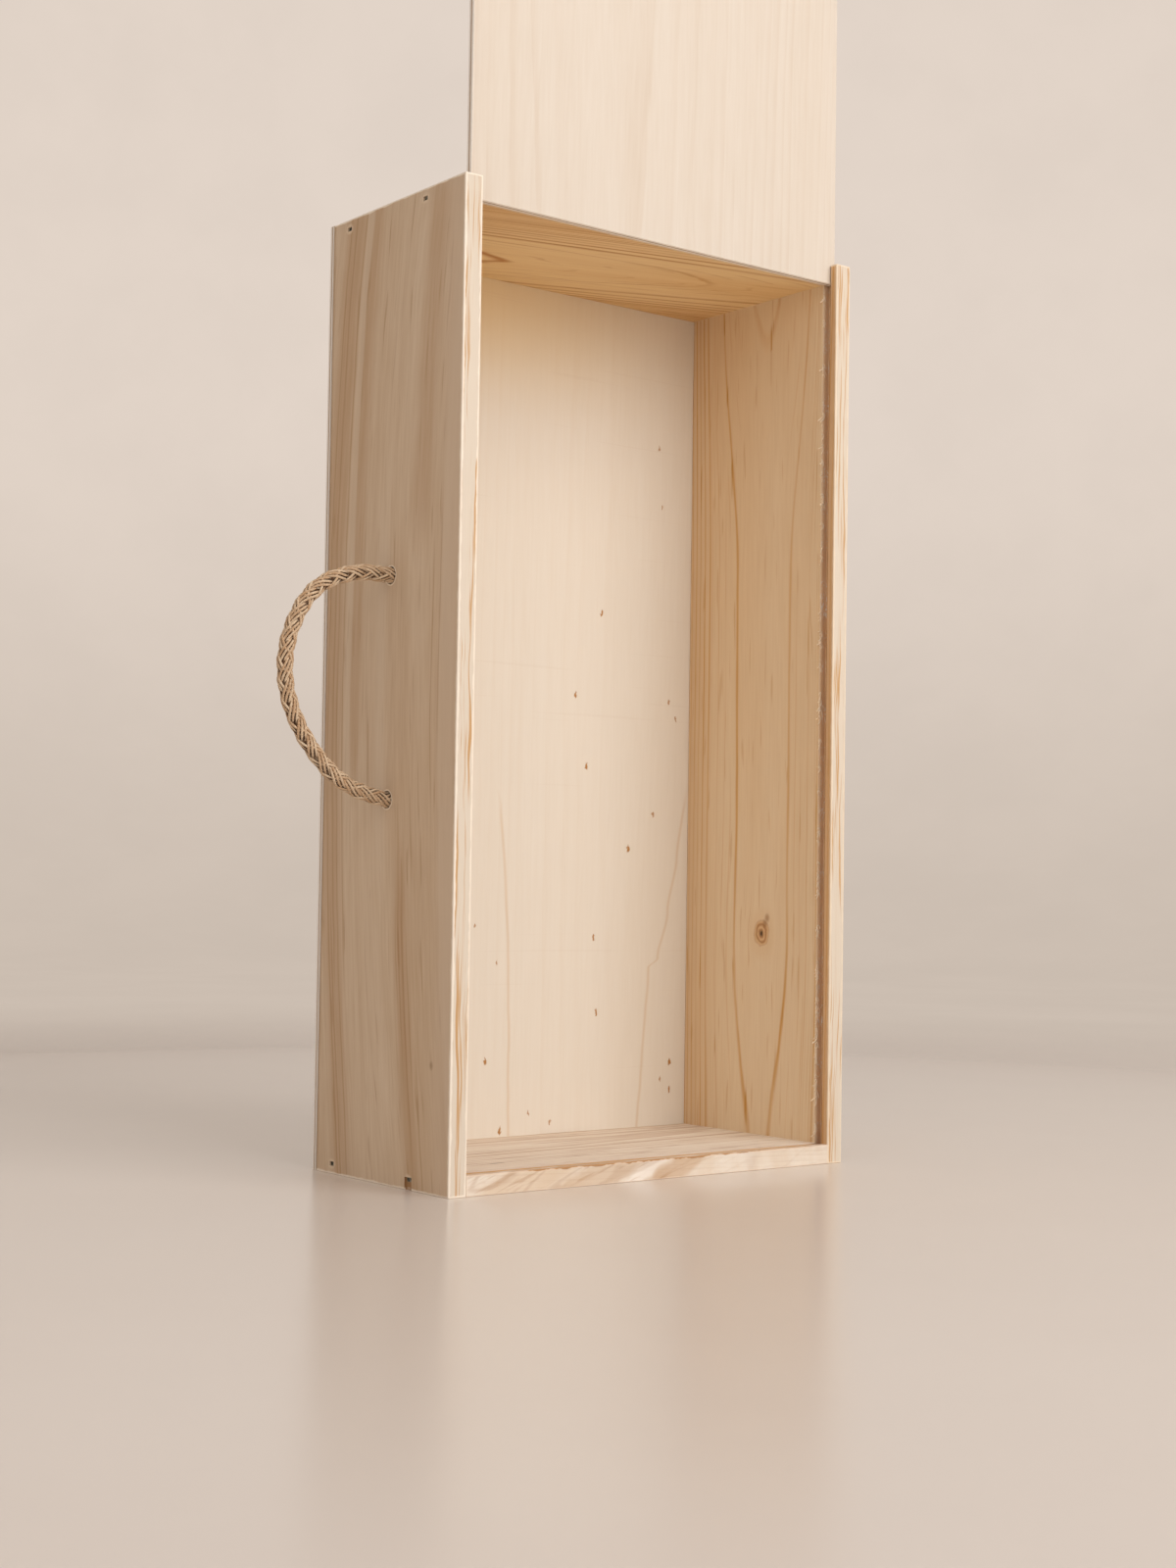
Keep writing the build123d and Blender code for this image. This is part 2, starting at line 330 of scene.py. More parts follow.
def braidTree(material, coreMaterial):  # yarns laid over and under one another round a line
    tree, given, result = growTree("braidedRope", rope["braid"])
    route = {"Curve": given["Geometry"], "Length": given["Step"]}
    line = addNode(tree, "GeometryNodeResampleCurve", route, mode="LENGTH").outputs[0]
    strands = times(tree, given["Pairs"], 2.0)
    wanted = {"Geometry": line, "Amount": times(tree, strands, given["Yarns"])}
    copies = addNode(tree, "GeometryNodeDuplicateElements", wanted, domain="SPLINE").outputs
    index = copies["Duplicate Index"]
    yarn = calc(tree, "MODULO", index, given["Yarns"])
    strand = calc(tree, "FLOOR", calc(tree, "DIVIDE", index, given["Yarns"]))
    way = timesPlus(tree, calc(tree, "MODULO", strand, 2.0), -2.0, 1.0)  # 1 or -1
    place = calc(tree, "FLOOR", times(tree, strand, 0.5))
    spline = addNode(tree, "GeometryNodeSplineParameter").outputs
    travelled = spline["Length"]
    tuck = ramp(tree, spline["Factor"], 0.965, 1.0, 1.0, 0.3)  # the yarns draw in at the far end
    turns = calc(tree, "DIVIDE", travelled, given["Pitch"])
    phase = plus(tree, times(tree, turns, strands, way), times(tree, place, 2.0))
    weave = calc(tree, "SINE", timesPlus(tree, phase, math.pi / 2, math.pi / 4))
    weave = times(tree, weave, way)
    along = {"W": timesPlus(tree, index, 17.3, travelled), "Scale": 420.0}
    jitter = addNode(tree, "ShaderNodeTexNoise", along, noise_dimensions="1D").outputs["Fac"]
    radius = timesPlus(tree, weave, given["Weave Lift"], given["Braid Radius"])
    radius = timesPlus(tree, swing(tree, jitter), times(tree, given["Weave Lift"], 0.7), radius)
    radius = times(tree, radius, tuck)
    middle = times(tree, minus(tree, given["Yarns"], 1.0), 0.5)
    side = times(tree, minus(tree, yarn, middle), given["Yarn Spacing"])
    angle = times(tree, calc(tree, "DIVIDE", side, given["Braid Radius"]), 1.25)
    angle = timesPlus(tree, times(tree, turns, way), 2 * math.pi, angle)
    angle = plus(tree, angle, calc(tree, "DIVIDE", times(tree, place, 2 * math.pi), given["Pairs"]))
    tangent = addNode(tree, "GeometryNodeInputTangent").outputs[0]
    outward = addNode(tree, "GeometryNodeInputNormal").outputs[0]
    across = vecCalc(tree, "CROSS_PRODUCT", tangent, outward)
    out = scaled(tree, outward, times(tree, radius, calc(tree, "COSINE", angle)))
    aside = scaled(tree, across, times(tree, radius, calc(tree, "SINE", angle)))
    moved = {"Geometry": copies["Geometry"], "Offset": vecCalc(tree, "ADD", out, aside)}
    laid = addNode(tree, "GeometryNodeSetPosition", moved).outputs[0]
    laid = keep(tree, laid, "yarnTone", chance(tree, 0.1, 1.0, 7, ID=index))
    laid = keep(tree, laid, "yarnAxis", radius)
    laid = keep(tree, laid, "yarnLift", weave)
    yarns = tube(tree, laid, 8, given["Yarn Radius"])
    wire = addNode(tree, "GeometryNodeCurveToMesh", {"Curve": line}).outputs[0]
    reach = addNode(tree, "GeometryNodeProximity", {0: wire}, target_element="EDGES").outputs["Distance"]
    rise = calc(tree, "DIVIDE", minus(tree, reach, recall(tree, "yarnAxis")), given["Yarn Radius"])
    yarns = keep(tree, yarns, "yarnRise", rise)  # 1 on top of a yarn, -1 under it
    inside = addNode(tree, "GeometryNodeTrimCurve", {"Curve": line, "End": 0.97}, mode="FACTOR").outputs[0]
    core = tube(tree, inside, 12, given["Core Radius"])
    # Loose fibres that stand off the yarns, as pale as the top of a yarn, with none of the painted shade
    sown = {"Mesh": yarns, "Density": given["Fuzz Density"], "Seed": 3}
    spots = addNode(tree, "GeometryNodeDistributePointsOnFaces", sown, distribute_method="RANDOM").outputs
    bend = vectorOf(tree, Z=times(tree, given["Fuzz Length"], 0.7))
    tip = vectorOf(tree, X=times(tree, given["Fuzz Length"], 0.6), Z=given["Fuzz Length"])
    fibre = tube(tree, bentLine(tree, bend, tip, 4), 3, given["Fuzz Radius"], False)
    for name, value in (("yarnTone", 0.8), ("yarnRise", 1.0), ("yarnLift", 1.0)):
        fibre = keep(tree, fibre, name, value)
    lean = chanceVector(tree, (-1.1, -1.1, -3.1), (1.1, 1.1, 3.1), 5)
    turned = {0: spots["Rotation"], 1: lean}
    turned = addNode(tree, "FunctionNodeRotateRotation", turned, rotation_space="LOCAL").outputs[0]
    size = chance(tree, 0.35, 1.0, 9)
    stood = {"Points": spots["Points"], "Instance": fibre, "Rotation": turned, "Scale": size}
    fuzz = addNode(tree, "GeometryNodeInstanceOnPoints", stood).outputs[0]
    joined = addNode(tree, "GeometryNodeJoinGeometry")
    for part in (fuzz, core, yarns):
        tree.links.new(part, joined.inputs[0])
    whole = addNode(tree, "GeometryNodeRealizeInstances", {0: joined.outputs[0]}).outputs[0]
    whole = setMaterial(tree, whole, coreMaterial)
    whole = setMaterial(tree, whole, material, Selection=over(tree, recall(tree, "yarnTone"), 0.05))
    setInputs(tree, result, {"Geometry": whole})
    return tree


def yarnMaterial():
    material, tree, shader, coords = newMaterial("ropeYarn")
    stored = {}
    for name in ("yarnTone", "yarnLift", "yarnRise"):
        stored[name] = addNode(tree, "ShaderNodeAttribute", attribute_name=name).outputs["Fac"]
    colour = twoTone(tree, stored["yarnTone"], "#C29E79", "#E1CAAC")
    # painted shade: yarns are darker where they pass under others
    colour = tint(tree, colour, "#A37648", ramp(tree, stored["yarnLift"], 0.0, -1.0), 0.30)
    # painted shade: dark brown in the gaps between yarns and beneath them
    gap = ramp(tree, stored["yarnRise"], 0.64, -0.20)
    colour = tint(tree, colour, "#4C2B0A", gap, 0.95)
    twist = noise(tree, coords, (1100.0, 1100.0, 1100.0), 3.0, 0.6)
    colour = tint(tree, colour, "#EEDBBF", ramp(tree, twist, 0.5, 0.8))
    bump = addNode(tree, "ShaderNodeBump", {"Height": twist, "Strength": 0.5, "Distance": 0.0003}).outputs[0]
    setInputs(tree, shader, {"Base Color": colour, "Roughness": 0.85, "Normal": bump})
    return material


def coreMaterial():
    material, tree, shader, coords = newMaterial("ropeCore")
    # painted shade: the core is dark brown so the gaps between strands read dark
    coreShade = twoTone(tree, noise(tree, coords, (700.0, 700.0, 700.0)), "#5A340F", "#74481C")
    setInputs(tree, shader, {"Base Color": coreShade, "Roughness": 0.95})
    return material


def braided(name, points):  # mesh of a braid along the points, and the points of its line
    line = routeCurve(name + "Route", points)
    path = [tuple(v.co) for v in evaluatedMesh(line, name + "Path").vertices]
    made = grown(line, name, ropeTree, rope["braid"])
    return made, path


ropeTree = braidTree(yarnMaterial(), coreMaterial())
ropePoints = [(rope["faceX"] - out, rope["y"], rope["midZ"] + rise) for out, rise in rope["route"]]
ropeHandle, ropePath = braided("rope_handle", ropePoints)
knots = {"upper_knot": (rope["route"][0], 1.0), "lower_knot": (rope["route"][-1], -1.0)}
for node, (routeEnd, turned) in knots.items():
    start = Vector((rope["innerX"], rope["y"], rope["midZ"] + routeEnd[1]))
    points = [start + Vector((inward, turned * across, turned * up)) for inward, across, up in rope["knot"]]
    stopper = braided(node + "_rope", points)[0]
    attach(stopper, "box")
    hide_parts(node)
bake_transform(ropeHandle)
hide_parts("rope_loop", "upper_rope_end", "lower_rope_end")


# Shared effects for the wood
def makeLogRings():  # ring numbers round a log's axis, the Z of its coordinates, with rings of one area
    inputs = [("Vector", "Vector"), ("Ring Gap", "Float"), ("Bow", "Float")]
    tree, given, result = newGroup("logRings", inputs, [("Rings", "Float"), ("Vector", "Vector")])
    run = splitVector(tree, given["Vector"])["Z"]
    bow = vectorOf(tree, Y=times(tree, run, run, given["Bow"]))
    place = vecCalc(tree, "ADD", given["Vector"], bow)
    flat = vecCalc(tree, "MULTIPLY", place, (1.0, 1.0, 0.0))
    area = times(tree, given["Ring Gap"], 0.1)  # the gap is the one at 50 mm from the axis
    rings = calc(tree, "DIVIDE", vecCalc(tree, "DOT_PRODUCT", flat, flat), area)
    setInputs(tree, result, {"Rings": rings, "Vector": place})
    return tree


def makePineFigure():  # dark late wood at the end of each ring, streaks and short dashes along Z
    amounts = ("Rings", "Late Width", "Wander", "Lines", "Streaks", "Stains", "Dashes", "Hairs")
    inputs = [("Vector", "Vector"), *[(label, "Float") for label in amounts]]
    inputs += [("Early", "Color"), ("Late", "Color"), ("Stain", "Color")]
    tree, given, result = newGroup("pineFigure", inputs, [("Color", "Color"), ("Height", "Float")])
    lateEnd = 0.94  # of a ring's width
    place = given["Vector"]
    slow = swing(tree, noise(tree, place, (22.0, 22.0, 4.0)))
    quick = swing(tree, noise(tree, place, (110.0, 110.0, 14.0), 3.0, 0.6))
    drift = timesPlus(tree, slow, 2.0, times(tree, quick, 0.55))
    rings = timesPlus(tree, drift, given["Wander"], given["Rings"])
    uneven = {"W": rings, "Scale": 0.55, "Detail": 1.0}
    uneven = addNode(tree, "ShaderNodeTexNoise", uneven, noise_dimensions="1D").outputs["Fac"]
    rings = timesPlus(tree, swing(tree, uneven), 0.9, rings)
    within = calc(tree, "FRACT", rings)
    number = {"W": calc(tree, "FLOOR", rings)}
    luck = addNode(tree, "ShaderNodeTexWhiteNoise", number, noise_dimensions="1D").outputs["Value"]
    width = times(tree, given["Late Width"], timesPlus(tree, luck, 1.1, 0.45))
    rise = ramp(tree, within, minus(tree, lateEnd, width), lateEnd)
    late = times(tree, calc(tree, "POWER", rise, 1.9), ramp(tree, within, 1.0, lateEnd))
    broken = ramp(tree, noise(tree, place, (60.0, 60.0, 6.0)), 0.30, 0.62, 0.35, 1.0)
    late = times(tree, late, broken, timesPlus(tree, luck, 0.5, 0.5))
    hairs = calc(tree, "FRACT", timesPlus(tree, slow, 1.5, times(tree, rings, 3.3)))
    thin = calc(tree, "MINIMUM", times(tree, given["Late Width"], 2.2), 0.3)
    hair = between(tree, hairs, (minus(tree, lateEnd, thin), lateEnd), (1.0, lateEnd))
    hair = times(tree, hair, ramp(tree, noise(tree, place, (130.0, 130.0, 9.0)), 0.44, 0.62))
    late = calc(tree, "MAXIMUM", late, times(tree, hair, given["Hairs"]))
    aside = scaled(tree, vectorOf(tree, X=slow, Y=slow), 0.010)
    place = vecCalc(tree, "ADD", place, aside)
    streak = swing(tree, noise(tree, place, (150.0, 150.0, 10.0), 5.0, 0.66))
    fibre = swing(tree, noise(tree, place, (900.0, 900.0, 42.0)))
    cloud = ramp(tree, noise(tree, place, (26.0, 26.0, 2.6)), 0.40, 0.72)
    dash = ramp(tree, noise(tree, place, (520.0, 520.0, 34.0), 1.0), 0.64, 0.74)
    dash = times(tree, dash, timesPlus(tree, rise, 0.6, 0.4))
    colour = mixPaint(tree, times(tree, late, given["Lines"]), given["Early"], given["Late"])
    colour = mixPaint(tree, times(tree, cloud, given["Stains"]), colour, given["Stain"])
    colour = mixPaint(tree, times(tree, dash, given["Dashes"]), colour, scaled(tree, given["Late"], 0.9))
    shade = timesPlus(tree, fibre, times(tree, given["Streaks"], 1.3), times(tree, streak, given["Streaks"]))
    shade = scaled(tree, (0.60, 0.88, 1.25), shade)  # warmer where it is darker
    shade = vecCalc(tree, "ADD", shade, (1.0, 1.0, 1.0))
    colour = vecCalc(tree, "MULTIPLY", colour, shade)
    height = timesPlus(tree, late, -0.20, timesPlus(tree, fibre, 0.6, 0.5))
    height = timesPlus(tree, dash, -0.12, timesPlus(tree, streak, 0.3, height))
    setInputs(tree, result, {"Color": colour, "Height": height})
    return tree


def makeArrisWearAndHighlight():  # how near a point is to an edge of a board's box; the pale edge it drives is part wear, part painted highlight
    inputs = [("Vector", "Vector"), ("Low", "Vector"), ("High", "Vector"), ("Width", "Float")]
    tree, given, result = newGroup("arrisWearAndHighlight", inputs, [("Mask", "Float")])
    fromLow = vecCalc(tree, "SUBTRACT", given["Vector"], given["Low"])
    fromHigh = vecCalc(tree, "SUBTRACT", given["High"], given["Vector"])
    x, y, z = splitVector(tree, vecCalc(tree, "MINIMUM", fromLow, fromHigh))
    second = calc(tree, "MINIMUM", calc(tree, "MAXIMUM", x, y), z)
    second = calc(tree, "MAXIMUM", calc(tree, "MINIMUM", x, y), second)  # to the second nearest face
    ragged = noise(tree, given["Vector"], (160.0, 160.0, 160.0))
    edge = times(tree, given["Width"], timesPlus(tree, ragged, 1.6, 0.2))
    setInputs(tree, result, {"Mask": ramp(tree, second, edge, times(tree, edge, 0.45))})
    return tree


def makeSpot():  # adds one soft-edged spot to a mask
    vectors = [(label, "Vector") for label in ("Vector", "Centre", "Size")]
    inputs = [("Mask", "Float"), *vectors, ("Soft", "Float")]
    tree, given, result = newGroup("spot", inputs, [("Mask", "Float")])
    away = vecCalc(tree, "SUBTRACT", given["Vector"], given["Centre"])
    reach = vecCalc(tree, "LENGTH", vecCalc(tree, "DIVIDE", away, given["Size"]))
    mark = ramp(tree, reach, 1.0, minus(tree, 1.0, given["Soft"]))
    setInputs(tree, result, {"Mask": calc(tree, "MAXIMUM", given["Mask"], mark)})
    return tree


def makeGrainBand():  # a band along the grain of a side, at one place across it and between two heights
    amounts = ("Bow", "Middle", "At", "Width", "Soft", "Low", "High")
    inputs = [("Vector", "Vector"), *[(label, "Float") for label in amounts]]
    tree, given, result = newGroup("grainBand", inputs, [("Mask", "Float")])
    fade = 0.03  # length over which the band's ends fade
    x, y, z = splitVector(tree, given["Vector"])
    along = minus(tree, z, given["Middle"])
    across = timesPlus(tree, times(tree, along, along), given["Bow"], y)
    wobble = swing(tree, noise(tree, given["Vector"], (0.0, 30.0, 16.0)))
    across = timesPlus(tree, wobble, 0.0035, minus(tree, across, given["At"]))
    half = times(tree, given["Width"], 0.5)
    mask = ramp(tree, apart(tree, across), plus(tree, half, given["Soft"]), half)
    rising = (given["Low"], plus(tree, given["Low"], fade))
    falling = (given["High"], minus(tree, given["High"], fade))
    setInputs(tree, result, {"Mask": times(tree, mask, between(tree, z, rising, falling))})
    return tree


def makeBranchKnot():  # a branch knot in a face that looks along X, with the figure bent round it
    inputs = [("Vector", "Vector"), ("Centre", "Vector"), ("Size", "Vector"), ("Push", "Float")]
    outputs = [("Vector", "Vector"), *[(label, "Float") for label in ("Knot", "Rings", "Heart", "Halo")]]
    tree, given, result = newGroup("branchKnot", inputs, outputs)
    away = vecCalc(tree, "SUBTRACT", given["Vector"], given["Centre"])
    away = vecCalc(tree, "MULTIPLY", away, (0.0, 1.0, 1.0))
    uneven = swing(tree, noise(tree, given["Vector"], (0.0, 240.0, 240.0)))
    reach = vecCalc(tree, "LENGTH", vecCalc(tree, "DIVIDE", away, given["Size"]))
    reach = timesPlus(tree, uneven, 0.5, reach)
    fade = calc(tree, "EXPONENT", times(tree, reach, reach, -0.22))
    pulled = scaled(tree, vecCalc(tree, "NORMALIZE", away), times(tree, fade, given["Push"]))
    knot = ramp(tree, reach, 1.1, 0.8)
    turns = calc(tree, "SINE", times(tree, reach, 17.0))
    setInputs(tree, result, {
        "Vector": vecCalc(tree, "SUBTRACT", given["Vector"], pulled),
        "Knot": knot,
        "Rings": timesPlus(tree, turns, 0.5, 0.5),
        "Heart": ramp(tree, reach, 0.30, 0.10),
        "Halo": times(tree, ramp(tree, reach, 2.3, 1.1), minus(tree, 1.0, knot)),
    })
    return tree


logRings = makeLogRings()
pineFigure = makePineFigure()
arrisWearAndHighlight = makeArrisWearAndHighlight()
spot = makeSpot()
grainBand = makeGrainBand()
branchKnot = makeBranchKnot()


def pine(tree, vector, rings, figure):
    amounts = {label: paint(value) if isinstance(value, str) else value for label, value in figure.items()}
    made = useGroup(tree, pineFigure, {"Vector": vector, "Rings": rings, **amounts})
    return made["Color"], made["Height"]


def logFigure(tree, coords, board):  # rings of the board's own log
    turn = [math.radians(a) for a in board["logTurn"]]
    inputs = {"Vector": coords, "Location": board["pith"], "Rotation": turn}
    placed = addNode(tree, "ShaderNodeMapping", inputs, vector_type="TEXTURE").outputs[0]
    cut = useGroup(tree, logRings, {"Vector": placed, "Ring Gap": board["ringGap"], "Bow": board["bow"]})
    return pine(tree, cut["Vector"], cut["Rings"], board["figure"])


def crownRings(tree, middle, across, depth):  # rings of a flat-sawn face, and the share of their dark lines
    slant = 26.0  # rings a metre beside the middle
    flat = calc(tree, "SQRT", timesPlus(tree, across, across, 1.2e-5))
    cube = times(tree, flat, flat, flat)
    rings = timesPlus(tree, flat, slant, middle)
    rings = timesPlus(tree, times(tree, cube, flat), 1.3e6, rings)
    rings = timesPlus(tree, depth, 200.0, rings)
    slope = timesPlus(tree, cube, 5.2e6, slant)
    return rings, calc(tree, "MINIMUM", times(tree, slope, 0.0011), 0.45)


def spotChain(tree, coords, places, size, soft):
    mask = 0.0
    for place in places:
        inputs = {"Mask": mask, "Vector": coords, "Centre": place, "Size": size, "Soft": soft}
        mask = useGroup(tree, spot, inputs)[0]
    return mask


def dressBoard(board, draw):  # draw gives the colour, the height and where the pale arrises, part wear and part painted highlight, are torn
    material, tree, shader, coords = newMaterial(board["material"])
    colour, height, torn = draw(tree, coords, board)
    arris = board["arris"]
    low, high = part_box(board["node"])
    high = (high[0], high[1] + board.get("coveredRear", 0.0), high[2])
    edges = {"Vector": coords, "Low": low, "High": high, "Width": arris["width"]}
    wornAndLit = useGroup(tree, arrisWearAndHighlight, edges)[0]
    # pale arrises: part rubbed wear, part painted highlight along the edges
    colour = tint(tree, colour, arris["colour"], wornAndLit, minus(tree, 1.0, torn), arris["amount"])
    rough = ramp(tree, height, 0.2, 0.8, 0.72, 0.56)
    bump = addNode(tree, "ShaderNodeBump", {"Height": height, "Strength": board["bump"], "Distance": 0.0004})
    setInputs(tree, shader, {"Base Color": colour, "Roughness": rough, "Normal": bump.outputs[0]})
    dress(board["node"], material)


# Where the boards meet, and where the lid's groove lies in them
joinery = {
    "frontY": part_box("plain_side")[0][1],
    "innerX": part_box("plain_side")[0][0],
    "endThickness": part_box("stop_end")[1][2],
    "grooveFrontY": -0.0421,
    "grooveRearY": -0.0381,
    "grooveFloorX": 0.0902,
    "nailY": (-0.0200, 0.0315),
    "nailZ": (0.00375, 0.35625),
}


def frontEdge(tree, y):  # mask of a front edge
    return ramp(tree, y, joinery["frontY"] + 0.0006, joinery["frontY"] + 0.0002)


def grooveSlot(tree, y):  # mask of the groove's width
    front, rear = joinery["grooveFrontY"], joinery["grooveRearY"]
    return between(tree, y, (front - 0.0005, front), (rear + 0.0005, rear))


def dressJoinery(tree, coords, colour, way):  # a side's front edge, groove and nail places; way is outward X
    inner, floor, rear = joinery["innerX"], joinery["grooveFloorX"], joinery["grooveRearY"]
    x, y, z = splitVector(tree, coords)
    outward = times(tree, x, way)
    front = frontEdge(tree, y)
    waver = scaled(tree, noise(tree, coords, (60.0, 60.0, 24.0), give="Color"), 0.006)
    wave = noise(tree, vecCalc(tree, "ADD", coords, waver), (820.0, 40.0, 16.0), 3.0, 0.6)
    planed = twoTone(tree, ramp(tree, wave, 0.51, 0.63), "#E4D8C7", "#CC9D66")
    colour = mixPaint(tree, times(tree, front, 0.88), colour, planed)
    depth = between(tree, outward, (inner, inner + 0.0004), (floor + 0.0004, floor + 0.0001))
    grooveRawAndShade = twoTone(tree, noise(tree, coords, (300.0, 300.0, 40.0), 3.0), "#F2CB98", "#FFE8C6")
    curl = swing(tree, noise(tree, coords, (700.0, 0.0, 260.0), 1.0))
    curl = ramp(tree, apart(tree, curl), 0.040, 0.012)
    grooveRawAndShade = tint(tree, grooveRawAndShade, "#FFFAF0", curl, ramp(tree, noise(tree, coords, (0.0, 0.0, 60.0)), 0.45, 0.60))
    rearWall = ramp(tree, y, rear - 0.0006, rear - 0.0002)  # the groove's floor is painted dark orange as shade; its rear wall stays paler
    grooveRawAndShade = mixPaint(tree, rearWall, paint("#B06A1C"), grooveRawAndShade)
    colour = mixPaint(tree, times(tree, grooveSlot(tree, y), depth, 0.9), colour, grooveRawAndShade)
    face = ramp(tree, outward, inner + 0.0004, inner + 0.0001)
    lip = minus(tree, ramp(tree, y, joinery["grooveFrontY"] + 0.0004, joinery["grooveFrontY"]), front)
    colour = tint(tree, colour, "#CC9049", face, lip, 0.45)
    brim = between(tree, y, (rear - 0.0002, rear), (rear + 0.0009, rear + 0.0004))
    colour = tint(tree, colour, "#F6E3C8", brim, face, 0.5)
    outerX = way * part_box("plain_side")[1][0]
    nails = [(outerX, nailY, nailZ) for nailY in joinery["nailY"] for nailZ in joinery["nailZ"]]
    return tint(tree, colour, "#EAD5BA", spotChain(tree, coords, nails, (0.002, 0.0030, 0.0024), 0.5), 0.7)


# Handle side: grey-tan pine with soft bands, greyer at the front
handleSide = {
    "node": "handle_side", "material": "handleSidePine", "coveredRear": 0.01, "bump": 0.35,
    "pith": (-0.0790, -0.0180, 0.1900), "logTurn": (0.0, 0.0, 0.0), "bow": 0.37, "ringGap": 0.0060,
    "figure": {
        "Late Width": 0.7, "Wander": 0.6, "Lines": 0.16, "Streaks": 0.25,
        "Stains": 0.45, "Dashes": 0.45, "Hairs": 0.5,
        "Early": "#DCC5A9", "Late": "#B58C60", "Stain": "#CAAB87",
    },
    "arris": {"amount": 0.9, "width": 0.0010, "colour": "#FFF3E2"},
    # bands along the grain: place across the board, width, softness, and the heights where they end
    "brownBands": [
        (0.0222, 0.0016, 0.0046, 0.13, 0.42), (-0.0200, 0.0030, 0.0090, 0.22, 0.38),
        (0.0375, 0.0060, 0.0060, -0.05, 0.42), (-0.0085, 0.0010, 0.0060, -0.03, 0.13),
    ],
    "paleBands": [
        (0.0268, 0.0036, 0.0008, 0.12, 0.42), (0.0045, 0.0030, 0.0030, 0.10, 0.26),
        (-0.0380, 0.0060, 0.0030, -0.05, 0.42),
    ],
    "brownLines": [
        (0.0302, 0.0003, 0.0006, 0.06, 0.42), (0.0340, 0.0001, 0.0006, -0.05, 0.25),
        (0.0368, 0.0002, 0.0007, 0.06, 0.42), (0.0405, 0.0002, 0.0006, -0.05, 0.42),
        (-0.0102, 0.0002, 0.0007, 0.00, 0.13), (-0.0130, 0.0001, 0.0006, 0.02, 0.10),
        (-0.0078, 0.0001, 0.0006, 0.03, 0.15), (-0.0160, 0.0001, 0.0006, -0.03, 0.06),
        (-0.0060, 0.0001, 0.0005, 0.05, 0.11), (0.0385, 0.0002, 0.0006, -0.03, 0.11),
        (-0.0290, 0.0001, 0.0006, 0.12, 0.24), (-0.0335, 0.0001, 0.0006, 0.14, 0.26),
    ],
    "bandPaints": {
        "brownBands": ("#B68C60", 0.38),
        "paleBands": ("#E0CCB3", 0.5),
        "brownLines": ("#A87A48", 0.38),
    },
    "pin": (-0.0335, 0.0450),  # a small pin knot, across and up
}


def bandSum(tree, coords, board, bands):
    total = 0.0
    for at, width, soft, bandLow, bandHigh in bands:
        inputs = {"Vector": coords, "Bow": board["bow"], "Middle": board["pith"][2], "At": at}
        inputs.update({"Width": width, "Soft": soft, "Low": bandLow, "High": bandHigh})
        total = calc(tree, "MAXIMUM", total, useGroup(tree, grainBand, inputs)[0])
    return total


def drawHandleSide(tree, coords, board):
    faceX = rope["faceX"]
    colour, height = logFigure(tree, coords, board)
    x, y, z = splitVector(tree, coords)
    outer = ramp(tree, x, faceX + 0.0040, faceX + 0.0005)
    for bands, (hexCode, amount) in board["bandPaints"].items():
        colour = tint(tree, colour, hexCode, bandSum(tree, coords, board, board[bands]), outer, amount)
    colour = tint(tree, colour, "#D8C0A6", ramp(tree, y, -0.030, -0.040), outer, 0.5)
    colour = tint(tree, colour, "#9A6A38", ramp(tree, y, 0.0408, 0.0424), outer, 0.5)
    colour = dressJoinery(tree, coords, colour, -1.0)
    pin = spotChain(tree, coords, [(faceX, *board["pin"])], (0.002, 0.0017, 0.0023), 0.9)
    colour = tint(tree, colour, "#8F6B48", pin, 0.5)
    ends = (rope["route"][0], rope["route"][-1])
    holes = [(faceX, rope["y"], rope["midZ"] + rise) for out, rise in ends]
    rims = spotChain(tree, coords, holes, (0.002, 0.0040, 0.0040), 0.12)
    colour = tint(tree, colour, "#FFF0DA", rims, 0.95)
    chip = times(tree, ramp(tree, x, faceX + 0.00005, faceX + 0.00025), ramp(tree, z, 0.0050, 0.0045))
    beside = ramp(tree, apart(tree, y, joinery["nailY"][0]), 0.0036, 0.0030)  # chipped below the front nail
    return tint(tree, colour, "#A87B4C", chip, beside, 0.85), height, 0.0


dressBoard(handleSide, drawHandleSide)

# Plain side: flat-sawn pine with close rings and one branch knot
plainSide = {
    "node": "plain_side", "material": "plainSidePine", "coveredRear": 0.01, "bump": 0.35, "crownY": -0.0040,
    "figure": {
        "Wander": 0.16, "Streaks": 0.13, "Stains": 0.30, "Dashes": 0.75,
        "Early": "#EDD6B5", "Late": "#CF9538", "Stain": "#E2BC8C",
    },
    "arris": {"amount": 0.8, "width": 0.0009, "colour": "#F8E6CC"},
    "knot": {"Centre": (0.0870, -0.0053, 0.0900), "Size": (1.0, 0.0046, 0.0056), "Push": 0.0026},
    "twig": [(0.0870, -0.0074, 0.0940), (0.0870, -0.0086, 0.0962)],
}


